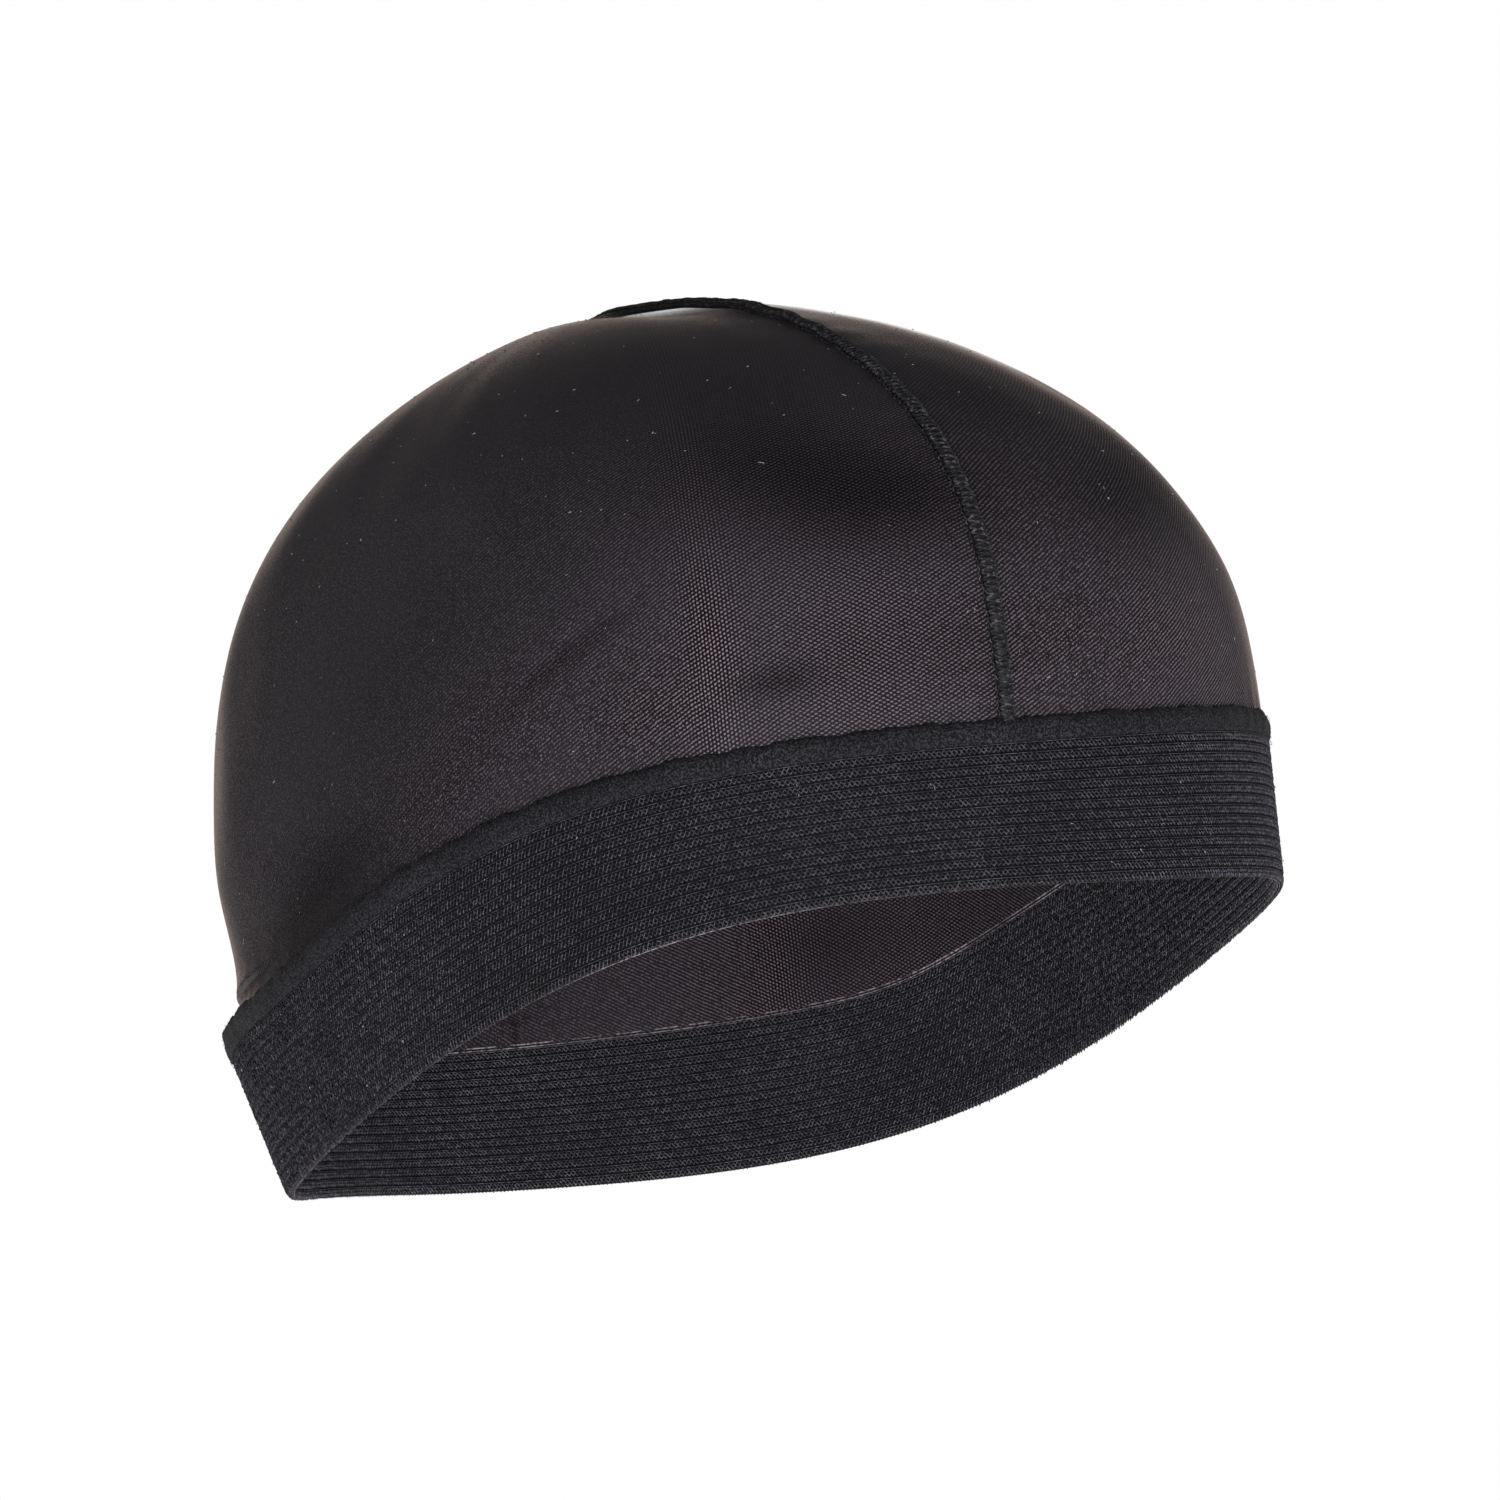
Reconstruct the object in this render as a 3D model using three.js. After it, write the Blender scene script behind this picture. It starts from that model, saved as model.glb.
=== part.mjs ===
// A stretch wave cap in the shape it has when worn: two sheer knit half crowns, the raised seam
// between them, an overlocked join strip and a wide elastic band. Millimetres, +Z up.
// The front of the cap faces -Y and the wearer's left is +X. The origin is the middle of the
// head opening, level with the middle of the band's lower rim.
import * as THREE from "three";
import { mergeVertices } from "three/addons/utils/BufferGeometryUtils.js";

// The band's lower rim, which rises from the nape to the forehead
const RIM_LENGTH = 188;
const RIM_WIDTH = 150;
const RIM_RISE = 46;
const RIM_ROLL = 2.9; // how much higher the wearer's left side is pulled

// The upper edge of the join strip, where the crown starts
const CROWN_LENGTH = 195;
const CROWN_WIDTH = 159;
const CROWN_SETBACK = 8.9; // its middle lies this far behind the rim's middle

// The top of the crown, above and behind the origin
const CROWN_HEIGHT = 116.2;
const TOP_SETBACK = 32.6;

// Cloth, along its own surface
const BAND_HEIGHT = 20;
const JOIN_HEIGHT = 3.7;
const SEAM_WIDTH = 2.4;
const CROWN_WALL = 1;
const BAND_WALL = 1.6;
const JOIN_WALL = 2;
const SEAM_THICKNESS = 1.4;
const JOIN_SWELL = 0.9; // how far the strip stands proud of its edges
const CROWN_INSET = 0.6; // the crown's lowest edge lies this far inside the strip's edge
const SEAM_LIFT = 0.9; // the taut centre seam lifts the cloth beside it at the top
const SEAM_TENT = 9; // and this far to each side
const GAP = 0.3; // between pieces that are sewn together

// Form of the outlines, as shares of the sizes above
const NARROW_FRONT = 0.03;
const SQUARENESS = 0.04;
const RIM_SWEEP = -0.08;
const ROLL_SWEEP = -0.7;
const HEIGHT_POWER = 0.605;
const SPREAD_POWER = 1.274;
const TOP_ROUNDING = 0.14;
const SIDE_STRETCH = 0.05; // the band stands this much higher at the sides than on average
const SWELL_PLACE = 0.62; // where across its height the strip is proudest
const EDGE_FADE = 6; // power with which the inset, the folds and the tent die out over the crown
const SEAM_SHOULDER = 0.55; // share of the seam's thickness where its sides start to round over
const SEAM_CREST = 0.6; // share of the seam's width that is left at its crest
const FULLNESS = { front: -0.015, side: -0.118, back: 0.231 };

// Folds and creases of the crown. turn (0 front, 90 wearer's left) and spread are degrees,
// height and reach are shares of the crown's rise at that turn, climb is how much higher the fold
// lies one spread further round, and depth is a share of the crown's height, negative inwards.
const FOLDS = [
  { turn: -29, spread: 5, height: 0.45, reach: 0.3, climb: 0, depth: 0.007 }, // upright crease
  { turn: -45, spread: 14, height: 0.24, reach: 0.05, climb: 0.07, depth: -0.008 }, // slanting fold
  { turn: -104, spread: 26, height: 0.08, reach: 0.1, climb: -0.02, depth: -0.032 }, // tuck over the band
  { turn: -75, spread: 22, height: 0.96, reach: 0.03, climb: 0, depth: 0.009 }, // loose fold near the top
  { turn: -80, spread: 42, height: 0.5, reach: 0.32, climb: 0, depth: -0.013 }, // flatter right side
  { turn: 55, spread: 26, height: 0.3, reach: 0.24, climb: 0, depth: 0.004 }, // fuller left side
  { turn: 151, spread: 6, height: 0.3, reach: 0.2, climb: 0, depth: -0.006 }, // crease at the back
];

const COLUMNS_HALF = 36;
const CROWN_ROWS = 18;
const RING_COLUMNS = 72;
const BAND_ROWS = 2;
const JOIN_ROWS = 4;
const SEAM_STEPS = 44;

const HALF_TURN = Math.PI;
const STEP = 1e-3; // of a turn or share, for slopes
const SAME_PLACE = 1e-4; // points closer than this are one

function radians(degrees) {
  return THREE.MathUtils.degToRad(degrees);
}

// A closed line round the head, seen from above
function planPoint(turn, length, width, setback) {
  const breadth = 1 - NARROW_FRONT * Math.cos(turn) + SQUARENESS * Math.cos(2 * turn);
  return new THREE.Vector3(
    (width / 2) * Math.sin(turn) * breadth,
    setback - (length / 2) * Math.cos(turn),
    0,
  );
}

function rimPoint(turn) {
  const point = planPoint(turn, RIM_LENGTH, RIM_WIDTH, 0);
  const slope = Math.cos(turn) + RIM_SWEEP * Math.cos(3 * turn);
  const roll = Math.sin(turn) + ROLL_SWEEP * Math.sin(3 * turn);
  point.z = (RIM_RISE / 2) * slope + RIM_ROLL * roll;
  return point;
}

// The band leans outwards and stays as wide across its slope all the way round
function crownStart(turn) {
  const rim = rimPoint(turn);
  const along = rimPoint(turn + STEP).sub(rimPoint(turn - STEP));
  const steep = along.z / Math.hypot(along.x, along.y);
  const point = planPoint(turn, CROWN_LENGTH, CROWN_WIDTH, CROWN_SETBACK);
  const height = (BAND_HEIGHT + GAP + JOIN_HEIGHT) * (1 - SIDE_STRETCH * Math.cos(2 * turn));
  point.z = rim.z + height * Math.hypot(1, steep);
  return point;
}

// share runs from 0 at the rim to 1 where the crown starts
function bandPoint(turn, share) {
  return rimPoint(turn).lerp(crownStart(turn), share);
}

function fullnessAt(turn) {
  const { front, side, back } = FULLNESS;
  const middle = (front + back) / 2;
  return (
    (middle + side) / 2 +
    ((front - back) / 2) * Math.cos(turn) +
    ((middle - side) / 2) * Math.cos(2 * turn)
  );
}

// How far the folds move the cloth outwards at a turn and a share of the crown's rise
function foldDepth(turn, height) {
  let depth = 0;
  for (const fold of FOLDS) {
    const aside = (turn - radians(fold.turn)) / radians(fold.spread);
    const above = (height - fold.height - fold.climb * aside) / fold.reach;
    depth += fold.depth * CROWN_HEIGHT * Math.exp(-aside * aside - above * above);
  }
  return depth;
}

// The share of the crown's rise that is still missing where it has closed in to this spread.
// TOP_ROUNDING keeps the very top from coming to a point.
function missingRise(spread) {
  const round = (share) => Math.pow(share * share + TOP_ROUNDING * TOP_ROUNDING, 1 / SPREAD_POWER);
  return (round(spread) - round(0)) / (round(1) - round(0));
}

// The crown before its folds; climb runs from 0 at the band to 1 at the top
function smoothCrownPoint(turn, climb) {
  const angle = (Math.PI / 2) * Math.pow(climb, 1 / HEIGHT_POWER);
  const closing = Math.pow(Math.max(Math.cos(angle), 0), SPREAD_POWER);
  const rise = Math.pow(1 - missingRise(closing), HEIGHT_POWER / 2);
  const spread = closing * (1 + fullnessAt(turn) * Math.sin(2 * angle));
  const start = crownStart(turn);
  return new THREE.Vector3(
    start.x * spread,
    TOP_SETBACK + (start.y - TOP_SETBACK) * spread,
    start.z + (CROWN_HEIGHT - start.z) * rise,
  );
}

function outwards(surface, turn, share) {
  const low = Math.max(share - STEP, 0);
  const high = Math.min(share + STEP, 1 - STEP);
  const middle = Math.min(share, 1 - STEP);
  const round = surface(turn + STEP, middle).sub(surface(turn - STEP, middle));
  const up = surface(turn, high).sub(surface(turn, Math.min(low, high - STEP)));
  return round.cross(up).normalize();
}

function crownPoint(turn, climb) {
  const point = smoothCrownPoint(turn, climb);
  const start = crownStart(turn).z;
  const height = (point.z - start) / (CROWN_HEIGHT - start);
  const folds = foldDepth(turn, height) * (1 - Math.pow(climb, EDGE_FADE));
  const inset = CROWN_INSET * Math.pow(1 - climb, EDGE_FADE);
  const beside = Math.exp(-Math.pow(point.x / SEAM_TENT, 2));
  const tent = SEAM_LIFT * Math.pow(height, EDGE_FADE) * beside;
  return point.addScaledVector(crownNormal(turn, climb), folds + tent - inset);
}

// The crown's lowest edge is square to the band, so it lies evenly on the join strip
function crownNormal(turn, climb) {
  if (climb <= 0) return outwards(bandPoint, turn, 1);
  if (climb >= 1) return new THREE.Vector3(0, 0, 1);
  return outwards(smoothCrownPoint, turn, climb);
}

// A geometry from points and quads or triangles, with coinciding points joined
function solid(points, faces) {
  const geometry = new THREE.BufferGeometry();
  geometry.setAttribute(
    "position",
    new THREE.Float32BufferAttribute(points.flatMap((point) => point.toArray()), 3),
  );
  geometry.setIndex(faces.flat());
  const joined = mergeVertices(geometry, SAME_PLACE);
  const index = joined.index.array;
  const kept = [];
  for (let i = 0; i < index.length; i += 3) {
    const [a, b, c] = [index[i], index[i + 1], index[i + 2]];
    if (a !== b && b !== c && c !== a) kept.push(a, b, c);
  }
  joined.setIndex(kept);
  joined.computeVertexNormals();
  return joined;
}

function quad(a, b, c, d) {
  return [a, b, c, a, c, d];
}

// A cloth wall. outer(column, row) and inner(column, row) give the two faces; a ring closes on
// itself and an open sheet has two side edges more.
function clothWall(outer, inner, columns, rows, ring) {
  const points = [];
  const faces = [];
  const across = columns + 1;
  for (const face of [outer, inner])
    for (let row = 0; row <= rows; row++)
      for (let column = 0; column <= columns; column++)
        points.push(face(ring ? column % columns : column, row));
  const out = (column, row) => row * across + column;
  const back = (column, row) => (rows + 1) * across + out(column, row);
  for (let column = 0; column < columns; column++) {
    const next = column + 1;
    for (let row = 0; row < rows; row++) {
      const above = row + 1;
      faces.push(quad(out(column, row), out(next, row), out(next, above), out(column, above)));
      faces.push(quad(back(column, row), back(column, above), back(next, above), back(next, row)));
    }
    faces.push(quad(out(column, 0), back(column, 0), back(next, 0), out(next, 0)));
    faces.push(quad(out(column, rows), out(next, rows), back(next, rows), back(column, rows)));
  }
  for (let row = 0; row < rows && !ring; row++) {
    const above = row + 1;
    faces.push(quad(out(0, row), out(0, above), back(0, above), back(0, row)));
    const last = columns;
    faces.push(quad(out(last, row), back(last, row), back(last, above), out(last, above)));
  }
  return solid(points, faces);
}

// Half of the crown, moved sideways by half a gap. side is -1 for the wearer's right, 1 for the left.
function crownHalf(side) {
  const firstTurn = side > 0 ? 0 : -HALF_TURN;
  const place = (column, row) => {
    const turn = firstTurn + (HALF_TURN * column) / COLUMNS_HALF;
    const edge = column === 0 || column === COLUMNS_HALF;
    return { turn, climb: row / CROWN_ROWS, edge };
  };
  const outer = (column, row) => {
    const { turn, climb, edge } = place(column, row);
    const point = crownPoint(turn, climb);
    if (edge) point.x = 0;
    point.x += (side * GAP) / 2;
    return point;
  };
  const inner = (column, row) => {
    const { turn, climb, edge } = place(column, row);
    const normal = crownNormal(turn, climb);
    if (edge) normal.x = 0;
    return outer(column, row).addScaledVector(normal, -CROWN_WALL);
  };
  return clothWall(outer, inner, COLUMNS_HALF, CROWN_ROWS, false);
}

// A rounded rise from 0 at both edges to 1 at SWELL_PLACE
function swellAt(share) {
  const side = share < SWELL_PLACE ? share / SWELL_PLACE : (1 - share) / (1 - SWELL_PLACE);
  return Math.sin((Math.PI / 2) * side);
}

// A ring of cloth between two shares of the band's slope, standing proud by swell between its edges
function bandRing(from, to, thickness, swell, rows) {
  const place = (column, row) => ({
    turn: (2 * HALF_TURN * column) / RING_COLUMNS,
    share: from + ((to - from) * row) / rows,
    swelling: swell * swellAt(row / rows),
  });
  const outer = (column, row) => {
    const { turn, share, swelling } = place(column, row);
    return bandPoint(turn, share).addScaledVector(outwards(bandPoint, turn, share), swelling);
  };
  const inner = (column, row) => {
    const { turn, share } = place(column, row);
    return bandPoint(turn, share).addScaledVector(outwards(bandPoint, turn, share), -thickness);
  };
  return clothWall(outer, inner, RING_COLUMNS, rows, true);
}

// The rounded ridge over the centre line, from the front of the band over the top to the nape
function centreSeam() {
  const half = SEAM_WIDTH / 2;
  const crest = half * SEAM_CREST;
  const shoulder = SEAM_THICKNESS * SEAM_SHOULDER;
  const section = [
    { aside: -half, above: 0 },
    { aside: half, above: 0 },
    { aside: half, above: shoulder },
    { aside: crest, above: SEAM_THICKNESS },
    { aside: -crest, above: SEAM_THICKNESS },
    { aside: -half, above: shoulder },
  ];
  const points = [];
  const faces = [];
  for (let step = 0; step <= SEAM_STEPS; step++) {
    const along = (2 * step) / SEAM_STEPS;
    const front = along <= 1;
    const turn = front ? 0 : HALF_TURN;
    const climb = front ? along : 2 - along;
    const base = crownPoint(turn, climb);
    const up = crownNormal(turn, climb);
    base.x = 0;
    up.x = 0;
    for (const { aside, above } of section) {
      const point = base.clone().addScaledVector(up, GAP + above);
      point.x += aside;
      points.push(point);
    }
  }
  const count = section.length;
  for (let step = 0; step < SEAM_STEPS; step++)
    for (let corner = 0; corner < count; corner++) {
      const next = (corner + 1) % count;
      const here = step * count;
      const there = here + count;
      faces.push(quad(here + corner, there + corner, there + next, here + next));
    }
  const last = SEAM_STEPS * count;
  for (let corner = 1; corner < count - 1; corner++) {
    faces.push([0, corner, corner + 1]);
    faces.push([last, last + corner + 1, last + corner]);
  }
  return solid(points, faces);
}

const crownKnit = new THREE.MeshStandardMaterial({ color: 0x2a2226, roughness: 0.55, metalness: 0 });
const overlockThread = new THREE.MeshStandardMaterial({ color: 0x151416, roughness: 0.85, metalness: 0 });
const elasticKnit = new THREE.MeshStandardMaterial({ color: 0x1d1d21, roughness: 0.8, metalness: 0 });

function piece(name, geometry, material) {
  const mesh = new THREE.Mesh(geometry, material);
  mesh.name = name;
  return mesh;
}

const slope = BAND_HEIGHT + GAP + JOIN_HEIGHT;
const bandEnd = BAND_HEIGHT / slope;
const joinStart = (BAND_HEIGHT + GAP) / slope;
const joinEnd = 1 - GAP / slope;

const cap = new THREE.Group();
cap.add(
  piece("crown_panel_right", crownHalf(-1), crownKnit),
  piece("crown_panel_left", crownHalf(1), crownKnit),
  piece("centre_seam", centreSeam(), overlockThread),
  piece("band_join_seam", bandRing(joinStart, joinEnd, JOIN_WALL, JOIN_SWELL, JOIN_ROWS), overlockThread),
  piece("elastic_band", bandRing(0, bandEnd, BAND_WALL, 0, BAND_ROWS), elasticKnit),
);

export default cap;
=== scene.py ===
"""A stretch wave cap as worn: sheer knit crown, overlocked seams and a ribbed elastic band."""

import math
from collections import namedtuple

import bpy
import numpy as np
from mathutils import Matrix, Vector


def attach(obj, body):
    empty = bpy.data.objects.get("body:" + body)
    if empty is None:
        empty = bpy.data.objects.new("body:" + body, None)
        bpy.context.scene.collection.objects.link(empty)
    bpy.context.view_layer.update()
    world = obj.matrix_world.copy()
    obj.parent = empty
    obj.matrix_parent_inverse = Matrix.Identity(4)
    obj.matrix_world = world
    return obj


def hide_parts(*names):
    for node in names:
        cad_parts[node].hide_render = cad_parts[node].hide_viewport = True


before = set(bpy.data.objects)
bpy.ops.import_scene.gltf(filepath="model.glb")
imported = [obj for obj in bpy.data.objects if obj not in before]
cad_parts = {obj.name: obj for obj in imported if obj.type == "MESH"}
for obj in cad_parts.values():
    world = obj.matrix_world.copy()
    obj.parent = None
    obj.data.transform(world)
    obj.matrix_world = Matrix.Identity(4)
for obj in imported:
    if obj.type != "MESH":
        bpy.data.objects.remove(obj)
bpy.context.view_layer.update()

MM = 0.001
FULL_TURN = 2 * math.pi
STEP = 1e-3

# The form of the cap in millimetres, as in the model that this scene is built round
RIM_LENGTH, RIM_WIDTH, RIM_RISE, RIM_ROLL = 188.0, 150.0, 46.0, 2.9
CROWN_LENGTH, CROWN_WIDTH, CROWN_SETBACK = 195.0, 159.0, 8.9
CROWN_HEIGHT, TOP_SETBACK = 116.2, 32.6
BAND_HEIGHT, JOIN_HEIGHT, GAP = 20.0, 3.7, 0.3
CROWN_INSET, SEAM_LIFT, SEAM_TENT = 0.6, 0.9, 9.0
NARROW_FRONT, SQUARENESS, RIM_SWEEP, ROLL_SWEEP = 0.03, 0.04, -0.08, -0.7
HEIGHT_POWER, SPREAD_POWER, TOP_ROUNDING, SIDE_STRETCH, EDGE_FADE = 0.605, 1.274, 0.14, 0.05, 6
FULLNESS_FRONT, FULLNESS_SIDE, FULLNESS_BACK = -0.015, -0.118, 0.231

# A soft spot on the crown: turn and spread in degrees, height and reach as shares of its rise, climb for
# each spread further round, and an amount
Spot = namedtuple("Spot", "turn spread height reach climb amount")

# Folds, with their depth in millimetres, negative inwards
FOLDS = [
    Spot(-29, 5, 0.45, 0.30, 0.0, 0.81),
    Spot(-46, 9, 0.262, 0.022, 0.07, -0.55),
    Spot(-104, 26, 0.08, 0.10, -0.02, -3.72),
    Spot(-80, 42, 0.50, 0.32, 0.0, -1.51),
    Spot(55, 26, 0.30, 0.24, 0.0, 0.46),
    Spot(151, 6, 0.30, 0.20, 0.0, -0.70),
]

# Height over the band in millimetres of the fold that droops at the side
DROOP_HEIGHT = 7.2

# Where the crown is lighter: partly where the knit is pulled taut and shows its lighter yarn, partly painted
# highlight on the crease ridges and the low front
STRETCH_AND_HIGHLIGHT_SPOTS = [
    Spot(-30, 3.2, 0.20, 0.24, 0.0, 0.74),
    Spot(-37, 8, 0.12, 0.13, 0.0, 0.68),
    Spot(-57, 14, 0.14, 0.12, 0.05, 0.42),
    Spot(-12, 14, 0.16, 0.20, 0.0, 0.64),
    Spot(-6, 24, 0.46, 0.14, 0.0, 0.30),
    Spot(16, 18, 0.14, 0.20, 0.0, 0.68),
    Spot(50, 18, 0.12, 0.20, 0.0, 0.58),
    Spot(105, 20, 0.12, 0.18, 0.0, 0.35),
    Spot(130, 16, 0.05, 0.20, 0.0, 0.55),
    Spot(149, 3.5, 0.12, 0.30, 0.0, 0.45),
    Spot(156, 10, 0.08, 0.20, 0.0, 0.55),
    Spot(-150, 28, 0.12, 0.20, 0.0, 0.55),
]

# Share of the crown's rise over which its pattern hardly shows, the share of yarn there and how far it
# takes the pattern's place
PLAIN_ABOVE, PLAIN_YARN, PLAIN_STRENGTH = 0.66, 0.22, 0.75

# Painted light and shade on the crown: where its colour is painted brighter than elsewhere, and, negative,
# painted darker
SHADES = [
    Spot(-30, 3.0, 0.16, 0.20, 0.0, 0.16),
    Spot(-46, 8, 0.262, 0.020, 0.06, -0.35),
    Spot(-23.5, 4.5, 0.125, 0.035, 0.0, -0.42),
    Spot(-8, 17, 0.16, 0.14, 0.0, -0.29),
    Spot(-9, 15, 0.46, 0.12, 0.0, -0.62),
    Spot(-20, 14, 0.58, 0.11, 0.0, -0.42),
    Spot(-16, 18, 0.72, 0.10, 0.0, -0.14),
    Spot(12, 12, 0.66, 0.10, 0.0, -0.25),
    Spot(27, 14, 0.44, 0.13, 0.0, -0.52),
    Spot(50, 10, 0.44, 0.16, 0.0, -0.30),
    Spot(-86, 17, 0.07, 0.10, 0.0, -0.60),
    Spot(-76, 20, 0.36, 0.22, 0.0, -0.22),
    Spot(143.5, 6, 0.09, 0.05, 0.0, -0.16),
    Spot(-118, 11, 0.03, 0.06, 0.0, -0.50),
    Spot(135, 38, 0.06, 0.30, 0.0, -0.42),
    Spot(-160, 24, 0.06, 0.30, 0.0, -0.42),
]

# Where the falling rows of the knit show as much as the rising ones, and where its columns show most:
# turn and spread in degrees
CROSSINGS = [(-14, 13), (133, 11), (-150, 14)]
COLUMNS = [(-29.5, 3), (148, 4)]
CLEAR_KNIT = [(-16, 34), (40, 40), (140, 44), (-150, 30)]

# Where the band as worn is taller or lower than the rest, and where its rim lies higher: turn and
# spread in degrees, height in millimetres
BAND_SHIFTS = [
    (-118, 12, 0.8), (-88, 16, -1.6), (-62, 14, -0.7), (22, 34, 1.3), (135, 12, -1.2), (165, 18, 0.8),
]
RIM_SHIFTS = [(-143, 20, 1.3)]

# Where the cloth is sheer: places and reaches in millimetres
SHEER_SPOTS = [
    dict(x=-2, y=20, z=116, wide=11, deep=26, tall=4.5, amount=0.86),
    dict(x=10, y=16, z=115, wide=10, deep=30, tall=5, amount=0.84),
    dict(x=17, y=-10, z=110, wide=8, deep=12, tall=4.5, amount=0.95),
    dict(x=25, y=-20, z=106, wide=8, deep=12, tall=4.5, amount=0.90),
    dict(x=33, y=-30, z=100, wide=8, deep=12, tall=4.5, amount=0.78),
]
TOP_DENT = dict(x=-5.5, y=16, wide=5.5, deep=24, depth=2.2)

# Cloth and threads, in millimetres
CROWN_CLOTH, CLOTH_GAP = 0.4, 0.06
CROWN_COLUMNS, LOW_ROWS, HIGH_ROWS, SKIRT_ROWS = 150, 34, 82, 4
# The crown's edge that the strip hides, as shares of the height up to the crown
SKIRT_SHARES = (0.975, 0.995)
# Turns in degrees from the front where the slant of the knit's rows is measured from, by side
KNIT_MIDDLES = {-1: -30, 1: 45}
LOW_ZONE = 13.0
# The elastic reaches higher on its inner face, where no strip covers it
OUTER_RIBS, OUTER_SHARE = 14, 0.87
INNER_RIBS, INNER_SHARE = 16, 0.985
RIB_SWELL = 0.23
BAND_CLOTH, RIM_TAPER = 0.75, 0.34
STITCHES_ROUND = 760
FUZZY_BANDS = [(-102, 34), (110, 24)]
# Where the rim yarn has a painted shine: turn and spread in degrees
RIM_PAINTED_SHINE = (-42, 16)
STITCH_YARN = 0.14
# The strip's lower and upper edge, as shares of the height up to the crown
STRIP_START, STRIP_END = 0.862, 1.016
SEAM_PITCH, SEAM_HALF, SEAM_RISE, SEAM_DEPTH = 2.0, 1.3, 0.85, 0.45
CROWN_SPECKS, BAND_SPECKS, FUZZ_FIBRES = 420, 160, 2200
# Where the centre seam lies pressed into the cloth, from front to back
SINK_MIDDLE, SINK_REACH = 32, 26
KNIT_WIDTH, KNIT_HEIGHT = 1.10, 0.63


def spot(a, b):
    """Share from 0 to 1 that falls off round zero, for two distances."""
    return np.exp(-a * a - b * b)


def around(turn, middle):
    """How far a turn lies from a middle, the short way round, in degrees."""
    return (np.degrees(turn) - middle + 180) % 360 - 180


def shift(turn, shifts):
    """The height in millimetres that a table of shifts adds at a turn."""
    return sum(height * spot(around(turn, middle) / spread, 0) for middle, spread, height in shifts)


def most(turn, places):
    """The largest share from 0 to 1 that a turn has of any of the places."""
    return np.max([spot(around(turn, middle) / spread, 0) for middle, spread in places], axis=0)


def plan_point(turn, length, width, setback):
    """A point of an oval seen from above, at a turn that starts at the front."""
    breadth = 1 - NARROW_FRONT * np.cos(turn) + SQUARENESS * np.cos(2 * turn)
    x = width / 2 * np.sin(turn) * breadth
    y = setback - length / 2 * np.cos(turn)
    return x, y


def rim_point(turn):
    """A point of the band's lower rim."""
    x, y = plan_point(turn, RIM_LENGTH, RIM_WIDTH, 0.0)
    slope = np.cos(turn) + RIM_SWEEP * np.cos(3 * turn)
    roll = np.sin(turn) + ROLL_SWEEP * np.sin(3 * turn)
    return np.stack([x, y, RIM_RISE / 2 * slope + RIM_ROLL * roll + shift(turn, RIM_SHIFTS)], -1)


def crown_start(turn):
    """A point of the line where the crown starts, over the band and its join."""
    along = rim_point(turn + STEP) - rim_point(turn - STEP)
    steep = along[..., 2] / np.hypot(along[..., 0], along[..., 1])
    height = (BAND_HEIGHT + GAP + JOIN_HEIGHT) * (1 - SIDE_STRETCH * np.cos(2 * turn))
    height = height + shift(turn, BAND_SHIFTS) - shift(turn, RIM_SHIFTS)
    x, y = plan_point(turn, CROWN_LENGTH, CROWN_WIDTH, CROWN_SETBACK)
    return np.stack([x, y, rim_point(turn)[..., 2] + height * np.hypot(1, steep)], -1)


def band_point(turn, share):
    """A point of the band's outer face, at a share of the way from its rim to the crown."""
    share = np.asarray(share)[..., None]
    return rim_point(turn) * (1 - share) + crown_start(turn) * share


def fullness_at(turn):
    """How much fuller the crown is half way up than a plain dome, at a turn."""
    middle = (FULLNESS_FRONT + FULLNESS_BACK) / 2
    front_back = (FULLNESS_FRONT - FULLNESS_BACK) / 2
    sides = (middle - FULLNESS_SIDE) / 2
    return (middle + FULLNESS_SIDE) / 2 + front_back * np.cos(turn) + sides * np.cos(2 * turn)


def missing_rise(spread):
    """Share of the rise that is still missing at a spread from 0 at the top to 1 at the band."""
    def rounded(share):
        return (share * share + TOP_ROUNDING**2) ** (1 / SPREAD_POWER)
    return (rounded(spread) - rounded(0.0)) / (rounded(1.0) - rounded(0.0))


def smooth_crown(turn, climb):
    """The crown without folds, at a climb from 0 at the band to 1 at the top."""
    angle = math.pi / 2 * climb ** (1 / HEIGHT_POWER)
    closing = np.maximum(np.cos(angle), 0) ** SPREAD_POWER
    rise = (1 - missing_rise(closing)) ** (HEIGHT_POWER / 2)
    spread = closing * (1 + fullness_at(turn) * np.sin(2 * angle))
    start = crown_start(turn)
    x = start[..., 0] * spread
    y = TOP_SETBACK + (start[..., 1] - TOP_SETBACK) * spread
    return np.stack([x, y, start[..., 2] + (CROWN_HEIGHT - start[..., 2]) * rise], -1)


def unit(vectors):
    """Vectors of length one."""
    return vectors / np.maximum(np.linalg.norm(vectors, axis=-1, keepdims=True), 1e-9)


def outwards(surface, turn, share):
    """The outward direction of a surface."""
    middle = np.clip(share, STEP, 1 - 2 * STEP)
    across = surface(turn + STEP, middle) - surface(turn - STEP, middle)
    up = surface(turn, middle + STEP) - surface(turn, middle - STEP)
    return unit(np.cross(across, up))


def amounts(spots, turn, height):
    """The amounts of all spots together, at a turn and height."""
    total = np.zeros(np.broadcast(turn, height).shape)
    for s in spots:
        aside = around(turn, s.turn) / s.spread
        total = total + s.amount * spot(aside, (height - s.height - s.climb * aside) / s.reach)
    return total


def crown_normal(turn, climb):
    """The crown's outward direction, without folds."""
    normal = outwards(smooth_crown, turn, climb)
    low = outwards(band_point, turn, np.ones_like(climb))
    return np.where((climb <= 0)[..., None], low, normal)


def height_share(turn, point):
    """Height over the band as a share of the crown's rise."""
    start = crown_start(turn)[..., 2]
    return (point[..., 2] - start) / (CROWN_HEIGHT - start)


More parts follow.
